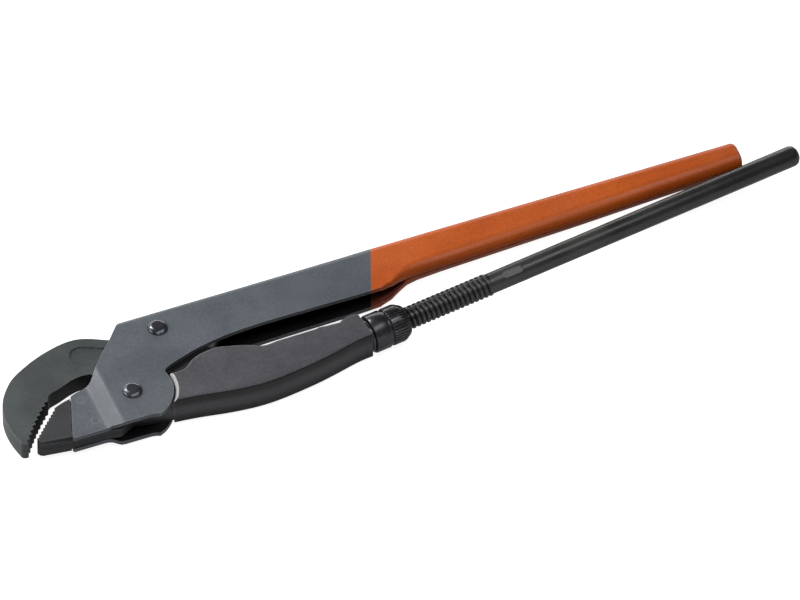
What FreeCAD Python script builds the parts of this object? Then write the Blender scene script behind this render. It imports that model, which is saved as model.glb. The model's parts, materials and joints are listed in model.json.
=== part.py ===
"""Pipe wrench with two handles: a pressed sheet main handle that carries the lower jaw, a cast yoke
pivoted on it, and a hooked upper jaw that a threaded rod and a knurled nut draw through the yoke.

Everything is first drawn in the working frame: the origin is on the yoke's pivot axis in the middle
of the tool's thickness, X runs towards the handle ends, Y towards the main handle, Z across the
thickness. At the end each sub-part is moved so that the origin lies under the middle of the tool,
on the surface that it rests on. All sizes are millimetres."""
import FreeCAD, Part
import math
import os
from FreeCAD import Placement, Rotation, Vector

# --- driving dimensions -------------------------------------------------------------------------
SIZES = {
    "sheet_gauge": 3.0,         # steel sheet of the main handle
    "head_half_width": 11.0,    # outside of the cheeks at the pivots
    "nose_half_width": 7.0,     # outside of the cheeks at the lower jaw
    "tube_half_width": 8.0,     # closed part of the main handle
    "tube_end_x": 444.0,
    "plug_thickness": 2.5,
    "plug_depth": 14.0,
    "lobe_radius": 27.0,        # round of the cheeks about the pivot
    "guide_x": 35.0,
    "guide_y": 45.0,
    "rivet_radius": 5.0,
    "rivet_head_radius": 6.6,
    "rivet_head_height": 2.5,
    "guide_sleeve_radius": 8.4,
    "pivot_sleeve_radius": 7.5,
    "jaw_rivet_radius": 2.8,
    "jaw_thickness": 14.0,
    "jaw_tongue_thickness": 8.0,
    "yoke_thickness": 23.0,
    "yoke_tongue_thickness": 15.4,
    "yoke_slot_width": 15.0,
    "yoke_bore_radius": 7.9,
    "eye_radius": 14.5,
    "shoulder_radius": 28.3,
    "shoulder_chamfer": 2.0,
    "edge_round": 3.0,
    "rod_radius": 7.0,
    "thread_radius": 7.65,
    "rod_angle": 8.09,          # degrees between the rod and X
    "rod_end_x": 483.4,
    "thread_start_x": 152.0,
    "thread_end_x": 257.2,
    "thread_pitch": 3.6,
    "panel_length": 46.0,
    "panel_radius": 7.25,
    "slot_turn": 24.0,          # degrees that the thumb slot is turned towards the open side
    "tail_x": 110.0,            # pin that joins the hook to the rod
    "tail_radius": 7.5,
    "tail_pin_radius": 3.5,
    "tang_thickness": 6.0,
    "fork_gap": 6.6,
    "nut_start_x": 164.2,
    "collar_radius": 12.9,
    "collar_length": 11.6,
    "knurl_radius": 12.8,
    "knurl_length": 10.6,
    "nut_cone_length": 4.5,
    "nut_bore_radius": 7.85,
    "washer_radius": 10.6,
    "washer_thickness": 1.6,
    "spring_thickness": 1.0,
    "spring_width": 8.0,
    "web_inside_y": 57.7,       # inner face of the handle's web at the head
}
AXIS_POINT = (162.7, -2.2)      # a point on the rod's axis
THROUGH = "60"                  # length of a cutter that passes right through the tool

doc = FreeCAD.newDocument("PipeWrench")
sheet = doc.addObject("Spreadsheet::Sheet", "Sizes")
for row, (alias, value) in enumerate(SIZES.items(), start=1):
    sheet.set(f"A{row}", alias)
    sheet.set(f"B{row}", str(value))
    sheet.setAlias(f"B{row}", alias)
doc.recompute()


def size(alias):
    """Value of one cell of the sheet, in millimetres or degrees."""
    return float(sheet.get(alias))


def rod_y(x):
    """Height of the rod's axis at a station along X."""
    return AXIS_POINT[1] + (x - AXIS_POINT[0]) * math.tan(math.radians(size("rod_angle")))


ROD_DIRECTION = Rotation(Vector(0, 0, 1), size("rod_angle")).multVec(Vector(1, 0, 0))
TAIL = Vector(size("tail_x"), rod_y(size("tail_x")), 0)


# --- helpers ------------------------------------------------------------------------------------
def bind(item, **expressions):
    """Bind properties of a document object to formulas on the sheet's cells."""
    for prop, formula in expressions.items():
        item.setExpression(prop.replace("__", "."), formula)
    return item


def cylinder(name, radius, height, centre=(0, 0), along=None):
    """Cylinder through the tool's thickness, centred on Z = 0, or from `centre` along `along`."""
    item = doc.addObject("Part::Cylinder", name)
    bind(item, Radius=radius, Height=height)
    if along is None:
        item.Placement = Placement(Vector(*centre, 0), Rotation())
        item.setExpression("Placement.Base.z", f"-({height}) / 2")
    else:
        item.Placement = Placement(Vector(*centre, 0), Rotation(Vector(0, 0, 1), along))
    return item


def profile(start, *runs):
    """Closed outline in the XY plane, from runs of ("lines", points), ("curve", points) or
    ("arc", (point on the way, end point))."""
    geometry = []
    here = Vector(*start, 0)
    for kind, points in runs:
        stops = [Vector(x, y, 0) for x, y in points]
        if kind == "lines":
            for stop in stops:
                geometry.append(Part.LineSegment(here, stop))
                here = stop
        elif kind == "arc":
            geometry.append(Part.Arc(here, stops[0], stops[1]))
        else:
            spline = Part.BSplineCurve()
            spline.interpolate([here] + stops)
            geometry.append(spline)
        here = stops[-1]
    if (here - Vector(*start, 0)).Length > 1e-6:
        geometry.append(Part.LineSegment(here, Vector(*start, 0)))
    return geometry


def plate(name, geometry, thickness):
    """PartDesign body: a sketch of the outline on the middle plane, padded both ways."""
    body = doc.addObject("PartDesign::Body", name)
    plane = next(f for f in body.Origin.OriginFeatures if f.Role == "XY_Plane")
    sketch = body.newObject("Sketcher::SketchObject", name + "_outline")
    sketch.AttachmentSupport = [(plane, "")]
    sketch.MapMode = "FlatFace"
    sketch.addGeometry(geometry, False)
    pad = body.newObject("PartDesign::Pad", name + "_pad")
    pad.Profile = sketch
    pad.SideType = "Symmetric"
    pad.setExpression("Length", thickness)
    return body


def fuse(name, *items):
    item = doc.addObject("Part::MultiFuse", name)
    item.Shapes = list(items)
    item.Refine = True
    return item


def common(name, *items):
    item = doc.addObject("Part::MultiCommon", name)
    item.Shapes = list(items)
    return item


def cut(name, base, *tools):
    item = doc.addObject("Part::Cut", name)
    item.Base = base
    item.Tool = tools[0] if len(tools) == 1 else fuse(name + "_tools", *tools)
    return item


def feature(name, shape):
    """Shape made with Part's own functions, for lofts and revolved outlines."""
    item = doc.addObject("Part::Feature", name)
    item.Shape = shape
    return item


def filleted(name, base, radius, wanted):
    """Part::Fillet of one radius on the edges that `wanted` accepts."""
    doc.recompute()
    item = doc.addObject("Part::Fillet", name)
    item.Base = base
    item.Edges = [(number, radius, radius) for number, edge in enumerate(base.Shape.Edges, start=1)
                  if wanted(edge)]
    return item


def turned(points):
    """Solid of revolution about X through the points (x, radius)."""
    wire = Part.makePolygon([Vector(x, r, 0) for x, r in points + points[:1]])
    return Part.Face(wire).revolve(Vector(0, 0, 0), Vector(1, 0, 0), 360)


def on_rod_axis(shape, station):
    """Lay a shape drawn along X from 0 onto the rod's axis, starting at the station X."""
    placed = shape.copy()
    lie = Placement(Vector(station, rod_y(station), 0), Rotation(Vector(0, 0, 1), size("rod_angle")))
    placed.Placement = lie.multiply(placed.Placement)
    return placed


def section(x, half_width, top, bottom, top_round, bottom_round):
    """Rounded rectangle across the handle at the station X, as a wire of lines and arcs."""
    def corner(y, z, sign_y, sign_z, radius):
        centre = Vector(x, y - sign_y * radius, z - sign_z * radius)
        side, cap = Vector(0, 0, sign_z * radius), Vector(0, sign_y * radius, 0)
        middle = Vector(0, sign_y, sign_z).normalize() * radius
        return centre + side, centre + middle, centre + cap

    ring = []
    for sign_y, sign_z, y, radius in ((-1, 1, bottom, bottom_round), (1, 1, top, top_round),
                                      (1, -1, top, top_round), (-1, -1, bottom, bottom_round)):
        points = corner(y, sign_z * half_width, sign_y, sign_z, radius)
        ring.append(points if sign_y * sign_z > 0 else points[::-1])
    edges = []
    for number, (start, middle, end) in enumerate(ring):
        edges.append(Part.Arc(start, middle, end).toShape())
        edges.append(Part.LineSegment(end, ring[(number + 1) % 4][0]).toShape())
    return Part.Wire(edges)


def tooth_row(start, end, count, depth, bulge):
    """Saw-tooth points from start to end, with the metal on the left of the way there. The roots lie
    `depth` in from the crests, and the row is hollowed by `bulge` at its middle."""
    (x0, y0), (x1, y1) = start, end
    length = math.hypot(x1 - x0, y1 - y0)
    along = ((x1 - x0) / length, (y1 - y0) / length)
    left = (-along[1], along[0])
    points = []
    for number in range(count):
        for part, rise in ((0.38, depth), (1.0, 0.0)):
            travel = (number + part) / count
            off = 4 * bulge * travel * (1 - travel) + rise
            points.append((x0 + along[0] * length * travel + left[0] * off,
                           y0 + along[1] * length * travel + left[1] * off))
    return points


# --- main handle: one pressed sheet, open towards the rod at the head, closed to a tube behind ----
HEAD, NOSE, TUBE = size("head_half_width"), size("nose_half_width"), size("tube_half_width")
GAUGE = size("sheet_gauge")
FAR_BELOW = -60.0
CHANNEL_STATIONS = (            # X, half width, top, radius of the folds
    (-60.0, NOSE, 60.7, 3.6), (-27.6, NOSE, 60.7, 3.6), (-26.0, NOSE + 0.1, 60.7, 3.6),
    (-24.4, NOSE + 0.4, 60.7, 3.7), (-16.0, HEAD - 0.4, 60.7, 4.6), (-14.4, HEAD - 0.1, 60.7, 4.9),
    (-12.8, HEAD, 60.7, 5.0),
    (100.0, HEAD, 60.7, 5.0), (165.0, 9.9, 62.4, 6.0), (184.0, 9.4, 63.4, 6.6))
MOUTH_END = 184.0               # behind this station the two flanges curl in under the tube
TUBE_STATIONS = (               # X, half width, top, bottom, radius of the folds, of the underside
    (MOUTH_END, 9.4, 63.4, 25.9, 6.6, 0.8), (192.0, 9.1, 63.8, 27.8, 6.9, 2.2),
    (199.0, 8.7, 64.3, 31.2, 7.1, 3.9), (205.0, 8.4, 64.7, 33.6, 7.4, 5.4),
    (213.0, 8.2, 65.0, 34.5, 7.6, 6.6), (230.0, TUBE, 65.3, 35.3, 7.6, 7.2),
    (330.0, TUBE, 65.3, 39.6, 7.6, 7.4),
    (size("tube_end_x"), TUBE, 65.3, 45.8, 7.6, 7.4))
LOWER_EDGE = ((33.7, 13.1), (47.2, 17.7), (60.2, 20.8), (75.2, 23.2), (93.6, 24.4), (140.0, 25.1),
              (MOUTH_END, 25.9))
# half width of the open seam between the flanges: wide at the mouth, a slit along the grip
SEAM = ((MOUTH_END - 6.0, 6.3), (190.0, 5.4), (198.0, 3.4), (204.0, 1.2), (212.0, 0.5),
        (500.0, 0.4))
SEAM_TOP = 50.0


def loft(sections):
    return Part.makeLoft(sections, True, True)


def channel(inset):
    return loft([section(x, w - inset, top - inset, FAR_BELOW, r - inset, 0.5)
                 for x, w, top, r in CHANNEL_STATIONS])


def tube(inset):
    return loft([section(x, w - inset, top - inset, low + inset, r - inset, max(under - inset, 0.5))
                 for x, w, top, low, r, under in TUBE_STATIONS])


def build_main_handle():
    lobe = size("lobe_radius")
    turn = math.radians(-35.0)
    outline = profile(
        (14.9, 62.0),
        ("lines", [(1.6, 46.3), (-6.7, 37.7), (-14.2, 28.8), (-21.2, 19.6)]),
        ("curve", [(-24.2, 17.5), (-28.0, 16.2), (-36.4, 13.9)]),
        ("curve", [(-38.0, 12.8), (-38.6, 10.6)]),
        ("lines", [(-49.1, -19.7), (-48.3, -21.3), (-22.0, -21.3), (-17.0, -23.5), (4.0, -23.5)]),
        ("curve", [(7.0, -24.0), (10.0, -25.1)]),
        ("arc", [(lobe * math.cos(turn), lobe * math.sin(turn)), (25.9, 7.6)]),
        ("curve", [(26.2, 9.0), (27.9, 10.6), *LOWER_EDGE]),
        ("lines", [(MOUTH_END, 80.0), (14.9, 80.0)]))
    side = plate("handle_side_view", outline, THROUGH)
    outer = feature("handle_channel_outside", channel(0.0))
    head = common("handle_channel", side, outer)
    closed = feature("handle_tube_outside", tube(0.0))
    blank = fuse("handle_blank", head, closed)
    mouth = feature("handle_channel_inside", channel(GAUGE))
    inside = feature("handle_tube_inside", tube(GAUGE))
    sides = [Vector(x, FAR_BELOW, w) for x, w in SEAM] + [Vector(x, FAR_BELOW, -w) for x, w in SEAM[::-1]]
    wedge = Part.Face(Part.makePolygon(sides + sides[:1])).extrude(Vector(0, SEAM_TOP - FAR_BELOW, 0))
    seam = feature("handle_seam", wedge)
    notch = plate("handle_web_notch", profile(
        (-60.0, 40.0), ("lines", [(19.0, 40.0), (19.0, 70.0), (-60.0, 70.0)])),
        "2 * (Sizes.head_half_width - Sizes.sheet_gauge)")
    width = "2 * Sizes.head_half_width + 4"
    holes = [cylinder("guide_rivet_hole", "Sizes.rivet_radius", width,
                      (size("guide_x"), size("guide_y"))),
             cylinder("pivot_rivet_hole", "Sizes.rivet_radius", width)]
    holes += [cylinder(f"jaw_rivet_hole_{number}", "Sizes.jaw_rivet_radius", width, spot)
              for number, spot in enumerate(JAW_RIVETS, start=1)]
    return cut("main_handle", blank, mouth, inside, seam, notch, *holes)


JAW_RIVETS = ((-32.9, 7.7), (-30.2, -12.2))


def build_end_plug():
    end = size("tube_end_x")
    x, w, top, low, r, under = TUBE_STATIONS[-1]
    head = loft([section(end, w - 0.3, top - 0.3, low + 0.3, r - 0.3, under - 0.3),
                 section(end + 1.2, w - 0.5, top - 0.5, low + 0.5, r - 0.5, under - 0.5),
                 section(end + size("plug_thickness"), w - 2.4, top - 2.4, low + 2.4, r - 2.4,
                         under - 2.4)])
    inset = GAUGE + 0.1
    depth = size("plug_depth")
    lift = depth * (TUBE_STATIONS[-1][3] - TUBE_STATIONS[-2][3]) / (end - TUBE_STATIONS[-2][0])
    stem = loft([section(end - depth, w - inset, top - inset, low - lift + inset + 0.1, r - inset,
                         under - inset),
                 section(end, w - inset, top - inset, low + inset + 0.1, r - inset, under - inset)])
    return feature("end_plug", head.fuse(stem).removeSplitter())


# --- rivets and sleeves ---------------------------------------------------------------------------
def build_rivet(label, x_formula, y_formula):
    """Shank with a flattened dome on each cheek."""
    reach, height = size("head_half_width"), size("rivet_head_height")
    rim, shank = size("rivet_head_radius"), size("rivet_radius")
    dome = [(reach, rim - 0.3), (reach + 0.5, rim), (reach + 1.5, rim - 0.5),
            (reach + height - 0.25, rim - 2.2), (reach + height, rim - 3.4)]
    outline = [(-x, r) for x, r in reversed(dome)]
    outline = [(-reach - height, 0.0)] + outline + [(-reach, shank), (reach, shank)]
    outline += dome + [(reach + height, 0.0)]
    item = feature(label, turned(outline).removeSplitter())
    item.Placement = Placement(Vector(0, 0, 0), Rotation(Vector(0, 1, 0), 90))
    bind(item, Placement__Base__x=x_formula, Placement__Base__y=y_formula)
    return item


def build_sleeve(label, radius, centre):
    """Spacer between the cheeks, which the rivet clamps."""
    width = "2 * (Sizes.head_half_width - Sizes.sheet_gauge)"
    outside = cylinder(label + "_outside", radius, width, centre)
    bore = cylinder(label + "_bore", "Sizes.rivet_radius", width, centre)
    return cut(label, outside, bore)


def build_jaw_rivets():
    pins = [cylinder(f"jaw_rivet_{number}", "Sizes.jaw_rivet_radius", "2 * Sizes.nose_half_width",
                     spot) for number, spot in enumerate(JAW_RIVETS, start=1)]
    group = doc.addObject("Part::Compound", "jaw_rivets")
    group.Links = pins
    return group


# --- lower jaw: toothed block with a tongue between the cheeks --------------------------------------
def build_lower_jaw():
    teeth = tooth_row((-51.2, 7.6), (-70.9, -12.6), 9, 1.9, 0.0)
    block = plate("lower_jaw_block", profile(
        (-38.9, 11.6), ("curve", [(-44.0, 10.4), (-51.2, 7.6)]), ("lines", teeth),
        ("curve", [(-71.0, -14.1), (-69.6, -16.1), (-66.6, -17.1)]),
        ("lines", [(-49.4, -19.3)])), "Sizes.jaw_thickness")
    behind_pivot = 16.5
    low_turn, mid_turn, high_turn = (math.radians(a) for a in (-106.0, -150.0, 158.0))
    arc = [(behind_pivot * math.cos(a), behind_pivot * math.sin(a))
           for a in (high_turn, mid_turn, low_turn)]
    tongue = plate("lower_jaw_tongue", profile(
        (-60.0, -6.0), ("lines", [(-69.0, -12.0)]),
        ("curve", [(-69.4, -14.6), (-68.2, -16.9), (-65.6, -17.8)]),
        ("lines", [(-49.6, -20.4), (-24.0, -20.9), (-16.0, -22.4), arc[2]]),
        ("arc", [arc[1], arc[0]]), ("lines", [(-23.0, 12.0), (-40.0, 12.2), (-52.0, 5.0)])),
        "Sizes.jaw_tongue_thickness")
    blank = fuse("lower_jaw_blank", block, tongue)
    holes = [cylinder(f"jaw_tongue_hole_{number}", "Sizes.jaw_rivet_radius", THROUGH, spot)
             for number, spot in enumerate(JAW_RIVETS, start=1)]
    return cut("lower_jaw", blank, *holes)


# --- hook: toothed upper jaw with a long flat shank -------------------------------------------------
SHANK_SLOPE = 25.0              # degrees that the hook's shank falls towards its tail
PANEL_CENTRE = (-18.5, 44.4)    # centre of the round end of the panel in the hook's neck


def build_hook():
    x, y, _ = TAIL
    reach = size("tail_radius")
    slope = math.radians(90.0 - SHANK_SLOPE)
    crest = (x + reach * math.cos(slope), y + reach * math.sin(slope))
    teeth = tooth_row((-77.4, -14.6), (-52.6, 15.0), 9, 2.0, 0.9)
    blank = plate("hook_blank", profile(
        (3.4, 50.0),
        ("curve", [(-6.8, 55.3), (-15.3, 58.3), (-24.9, 58.6), (-34.6, 56.7), (-46.6, 52.8),
                   (-58.6, 47.1), (-68.0, 41.2), (-74.6, 34.3), (-80.4, 25.3), (-83.9, 14.1),
                   (-84.4, 1.2), (-82.2, -11.5)]),
        ("curve", [(-81.2, -14.0), (-79.4, -14.8), (-77.4, -14.6)]),
        ("lines", teeth),
        ("curve", [(-50.4, 19.4), (-44.7, 21.6), (-35.6, 25.0), (-26.2, 27.3), (-18.4, 26.4)]),
        ("lines", [(35.0, 7.6), (x - 6.0, y - 5.2)]),
        ("arc", [(x + reach, y), crest]),
        ("lines", [(x - 14.0, y + 12.6)])), "Sizes.jaw_thickness")
    fork = doc.addObject("Part::Box", "hook_fork_gap")
    bind(fork, Width="4 * Sizes.tail_radius", Height="Sizes.fork_gap", Length="40")
    fork.Placement = Placement(Vector(x - 9.5, y - 2 * reach, -size("fork_gap") / 2), Rotation())
    bore = cylinder("hook_pin_bore", "Sizes.tail_pin_radius + 0.05", THROUGH, (x, y))
    # a shallow panel with a round front end is pressed into both sides of the hook's neck
    run, round_end = size("panel_length"), size("panel_radius")
    panel = profile((0.0, round_end), ("arc", [(-round_end, 0.0), (0.0, -round_end)]),
                    ("lines", [(run, -round_end), (run, round_end)]))
    face = Part.Face(Part.Wire([curve.toShape() for curve in panel]))
    depth, outside = 0.8, size("jaw_thickness") / 2
    recesses = []
    for side in (1, -1):
        recess = feature(f"hook_panel_{side + 2}", face.extrude(Vector(0, 0, side * 2)))
        recess.Placement = Placement(Vector(*PANEL_CENTRE, side * (outside - depth)),
                                     Rotation(Vector(0, 0, 1), -SHANK_SLOPE))
        recesses.append(recess)
    return cut("hook_jaw", blank, fork, bore, *recesses)


def build_tail_pin():
    pin = cylinder("tail_pin", "Sizes.tail_pin_radius", "Sizes.jaw_thickness + 0.4",
                   (TAIL.x, TAIL.y))
    return pin


# --- yoke: hollow casting that turns on the pivot and carries the rod and nut -----------------------
def build_yoke():
    arm = plate("yoke_arm", profile(
        (22.0, -18.4),
        ("curve", [(31.0, -19.3), (40.0, -20.5), (52.0, -22.6), (66.0, -24.6), (80.0, -25.6),
                   (94.0, -25.0), (108.0, -23.2), (123.0, -20.6), (138.5, -17.0), (154.0, -13.2),
                   (163.2, -12.0)]),
        ("lines", [(160.2, 9.6)]),
        ("curve", [(155.5, 10.0), (151.4, 9.2), (147.2, 6.9)]),
        ("lines", [(138.8, 7.2), (133.2, 7.8), (130.4, 7.2), (108.0, 6.9)]),
        ("curve", [(99.0, 6.3), (93.4, 6.4), (88.0, 8.8), (71.0, 14.6), (65.6, 16.0),
                   (56.3, 15.3), (45.4, 11.6), (42.2, 9.0), (38.4, 6.3), (34.0, 5.6),
                   (28.2, 5.4)])), "Sizes.yoke_thickness")
    relief = [cylinder("yoke_shoulder", "Sizes.shoulder_radius", THROUGH)]
    for side in (1, -1):
        flare = doc.addObject("Part::Cone", f"yoke_shoulder_flare_{side + 2}")
        bind(flare, Radius1="Sizes.shoulder_radius", Radius2="Sizes.shoulder_radius + 4",
             Height="4")
        flare.Placement = Placement(
            Vector(0, 0, side * (size("yoke_thickness") / 2 - size("shoulder_chamfer"))),
            Rotation(Vector(0, 0, 1), Vector(0, 0, side)))
        relief.append(flare)
    shouldered = cut("yoke_arm_cut", arm, *relief)
    rounded = filleted("yoke_arm_rounded", shouldered, size("edge_round") - 0.6,
                       lambda edge: abs(abs(edge.CenterOfMass.z) - size("yoke_thickness") / 2) < 0.01
                       and not isinstance(edge.Curve, Part.Circle)
                       and edge.CenterOfMass.x < 158.0)
    eye = size("eye_radius")
    tongue = plate("yoke_tongue", profile(
        (0.0, -eye), ("arc", [(-eye, 0.0), (eye * math.cos(1.22), eye * math.sin(1.22))]),
        ("lines", [(31.0, 3.4), (31.0, -19.0), (22.0, -18.2), (9.0, -16.6)])),
        "Sizes.yoke_tongue_thickness")
    casting = fuse("yoke_casting", rounded, tongue)
    slot = plate("yoke_slot", profile(
        (31.2, 40.0), ("lines", [(31.2, 1.0), (37.0, -3.5)]),
        ("curve", [(46.0, -11.6), (58.0, -18.9), (75.0, -22.8), (90.0, -22.2), (112.0, -19.6),
                   (125.0, -17.0)]),
        ("lines", [(125.0, 40.0)])), "Sizes.yoke_slot_width")
    bore = cylinder("yoke_rod_bore", "Sizes.yoke_bore_radius", THROUGH, (118.0, rod_y(118.0)),
                    ROD_DIRECTION)
    pivot = cylinder("yoke_pivot_bore", "Sizes.pivot_sleeve_radius + 0.05", THROUGH)
    return cut("yoke", casting, slot, bore, pivot)


# --- rod, nut and washer -------------------------------------------------------------------------
def build_threaded_rod():
    """Round rod with a rolled thread near the yoke and a flat tang for the hook's pin."""
    start = size("tail_x") + 11.0
    along = math.cos(math.radians(size("rod_angle")))
    core, crest, pitch = size("rod_radius") - 0.15, size("thread_radius"), size("thread_pitch")
    reach = size("rod_radius")
    at = [(x - start) / along for x in (size("thread_start_x"), size("thread_end_x"),
                                        size("rod_end_x"))]
    outline = [(0.0, 0.0), (0.0, reach - 1.0), (1.0, reach - 0.2), (at[0], reach - 0.2)]
    turns = int((at[1] - at[0]) / pitch)
    for turn in range(turns):
        foot = at[0] + turn * pitch
        outline += [(foot + 0.22 * pitch, core), (foot + 0.38 * pitch, crest),
                    (foot + 0.67 * pitch, crest), (foot + 0.83 * pitch, core)]
    outline += [(at[1], reach), (at[2] - 4.6, reach), (at[2] - 2.2, reach - 0.9),
                (at[2] - 0.6, reach - 2.9), (at[2], reach - 5.4), (at[2], 0.0)]
    bar = on_rod_axis(turned(outline), start)
    tang = Part.makeBox(start - TAIL.x + 4.0, 2 * reach - 2.4, size("tang_thickness"),
                        Vector(0, 1.2 - reach, -size("tang_thickness") / 2))
    tang = on_rod_axis(tang, TAIL.x)
    eye = Part.makeCylinder(reach - 0.4, size("tang_thickness"),
                            TAIL - Vector(0, 0, size("tang_thickness") / 2))
    hole = Part.makeCylinder(size("tail_pin_radius"), 40, TAIL - Vector(0, 0, 20))
    rod = bar.fuse([tang, eye]).cut(hole)
    # a shallow rounded thumb slot behind the thread
    flat = Part.makeCylinder(2.5, 3.0, Vector(2.5, 0, 0)).fuse(
        [Part.makeCylinder(2.5, 3.0, Vector(12.8, 0, 0)),
         Part.makeBox(10.3, 5.0, 3.0, Vector(2.5, -2.5, 0))])
    flat.translate(Vector(0, 0, size("rod_radius") - 1.0))
    flat.rotate(Vector(0, 0, 0), Vector(1, 0, 0), size("slot_turn"))
    return feature("threaded_rod", rod.cut(on_rod_axis(flat, 261.7)).removeSplitter())


def build_nut():
    """Smooth collar against the washer, a groove, a fine straight knurl and a cone."""
    collar, knurl, bore = size("collar_radius"), size("knurl_radius"), size("nut_bore_radius")
    first = size("collar_length")
    second = first + size("knurl_length")
    last = second + size("nut_cone_length")
    outline = [(0.0, bore), (0.0, collar - 0.8), (0.8, collar), (first - 0.5, collar),
               (first, collar - 1.3), (first + 1.0, collar - 1.3), (first + 1.5, knurl),
               (second, knurl), (last - 0.4, bore + 2.6), (last, bore + 2.0), (last, bore)]
    blank = on_rod_axis(turned(outline), size("nut_start_x"))
    ridges = 40
    groove = Part.makeBox(size("knurl_length") + size("nut_cone_length"), 0.7, 1.2,
                          Vector(first + 0.6, -0.35, knurl - 0.6))
    grooves = []
    for number in range(ridges):
        turn = groove.copy()
        turn.rotate(Vector(0, 0, 0), Vector(1, 0, 0), 360.0 * number / ridges)
        grooves.append(on_rod_axis(turn, size("nut_start_x")))
    return feature("adjusting_nut", blank.cut(grooves))


def build_thrust_washer():
    thick, outside = size("washer_thickness"), size("washer_radius")
    bore = size("nut_bore_radius")
    ring = turned([(0.0, bore), (0.0, outside - 0.3), (0.3, outside), (thick - 0.3, outside),
                   (thick, outside - 0.3), (thick, bore)])
    return feature("thrust_washer", on_rod_axis(ring, size("nut_start_x") - thick - 0.15))


# --- leaf spring under the web of the main handle ---------------------------------------------------
SPRING_RIVET_X = 128.0


def build_hook_spring():
    thick, web = size("spring_thickness"), size("web_inside_y")
    top = [(140.0, web - 0.05), (114.0, web - 0.05), (94.0, web - 6.0), (74.0, 34.0), (64.0, 26.6),
           (59.0, 27.8)]
    under = [(58.8, 27.8 - thick), (64.4, 26.6 - thick), (74.8, 33.3), (94.5, web - 7.1),
             (114.0, web - 0.05 - thick), (140.0, web - 0.05 - thick)]
    blank = plate("hook_spring_blank", profile(
        top[0], ("lines", [top[1]]), ("curve", top[2:]), ("lines", [under[0]]),
        ("curve", under[1:5]), ("lines", [under[5]])), "Sizes.spring_width")
    hole = Part.makeCylinder(2.0, 20, Vector(SPRING_RIVET_X, web - 12, 0), Vector(0, 1, 0))
    return cut("hook_spring", blank, feature("hook_spring_hole", hole))


def build_spring_rivet():
    """Short rivet that clenches the spring on the inside of the web."""
    web, thick = size("web_inside_y"), size("spring_thickness")
    head = [(0.0, 0.0), (0.0, 2.4), (0.5, 3.4), (1.4, 3.6), (1.4, 2.0), (1.4 + thick + 0.05, 2.0),
            (1.4 + thick + 0.05, 0.0)]
    item = feature("spring_rivet", turned(head))
    item.Placement = Placement(Vector(SPRING_RIVET_X, web - thick - 1.45, 0),
                               Rotation(Vector(0, 0, 1), 90))
    return item


# --- assembly ------------------------------------------------------------------------------------
PARTS = [
    build_main_handle(), build_end_plug(), build_lower_jaw(), build_jaw_rivets(),
    build_rivet("guide_rivet", "Sizes.guide_x", "Sizes.guide_y"),
    build_sleeve("guide_sleeve", "Sizes.guide_sleeve_radius", (size("guide_x"), size("guide_y"))),
    build_rivet("pivot_rivet", "0 * Sizes.guide_x", "0 * Sizes.guide_y"),
    build_sleeve("pivot_sleeve", "Sizes.pivot_sleeve_radius", (0, 0)),
    build_hook_spring(), build_spring_rivet(), build_yoke(), build_thrust_washer(), build_nut(),
    build_threaded_rod(), build_tail_pin(), build_hook()]
doc.recompute()

for item in doc.Objects:
    if "Invalid" in item.State or "Error" in item.State:
        raise RuntimeError(f"{item.Name} did not recompute: {item.State}")

box = FreeCAD.BoundBox()
for item in PARTS:
    if item.Shape.isNull() or not item.Shape.isValid():
        raise RuntimeError(f"{item.Label} has no valid shape")
    box.add(item.Shape.optimalBoundingBox(False, False))
shift = Vector(-box.Center.x, -box.Center.y, -box.ZMin)

os.makedirs("parts", exist_ok=True)
for item in PARTS:
    placed = item.Shape.copy()
    placed.Placement = Placement(shift, Rotation()).multiply(placed.Placement)
    placed.exportStep(f"parts/{item.Label}.step")
    print(f"{item.Label:16s} {len(placed.Solids)} solid, {placed.Volume / 1000:8.2f} cm3")
print("origin of the working frame:", [round(value, 4) for value in shift])
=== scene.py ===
# %% [markdown]
# # Pipe wrench
# The tool lies on its side on a pale floor. Its steel parts come from the engineering model, which
# is the fixed frame here. This lesson finishes their edges, models the rolled thread, and gives
# every surface its paint, scale or polish.

# %% Load the frame
import json
import math

import bpy
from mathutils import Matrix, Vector


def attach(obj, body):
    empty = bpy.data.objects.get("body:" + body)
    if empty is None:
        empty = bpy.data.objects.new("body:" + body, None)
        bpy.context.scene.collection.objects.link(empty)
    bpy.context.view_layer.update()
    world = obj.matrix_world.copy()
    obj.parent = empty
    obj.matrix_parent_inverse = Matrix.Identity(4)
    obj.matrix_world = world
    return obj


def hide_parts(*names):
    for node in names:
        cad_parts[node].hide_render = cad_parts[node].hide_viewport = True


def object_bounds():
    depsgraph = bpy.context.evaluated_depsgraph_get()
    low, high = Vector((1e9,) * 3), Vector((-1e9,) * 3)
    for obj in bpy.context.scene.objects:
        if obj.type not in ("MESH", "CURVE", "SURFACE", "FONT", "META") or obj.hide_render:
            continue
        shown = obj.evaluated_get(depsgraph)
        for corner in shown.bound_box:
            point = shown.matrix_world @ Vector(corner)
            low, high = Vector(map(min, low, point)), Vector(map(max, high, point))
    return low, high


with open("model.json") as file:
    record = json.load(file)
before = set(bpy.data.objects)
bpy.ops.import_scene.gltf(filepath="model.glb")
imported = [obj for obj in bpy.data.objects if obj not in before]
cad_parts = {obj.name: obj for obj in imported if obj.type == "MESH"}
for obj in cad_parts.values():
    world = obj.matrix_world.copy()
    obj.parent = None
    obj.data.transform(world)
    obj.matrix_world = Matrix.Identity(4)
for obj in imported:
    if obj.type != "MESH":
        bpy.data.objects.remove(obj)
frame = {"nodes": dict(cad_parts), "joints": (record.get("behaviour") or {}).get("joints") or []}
cad_box = [list(corner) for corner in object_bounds()]
cad_joints = {joint["name"]: joint for joint in frame["joints"]}
PIVOT = Vector(cad_joints["handle_pivot"]["pos_m"])
NUT_POINT = Vector(cad_joints["nut_spin"]["pos_m"])
ROD_AXIS = Vector(cad_joints["nut_spin"]["axis"]).normalized()
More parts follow.
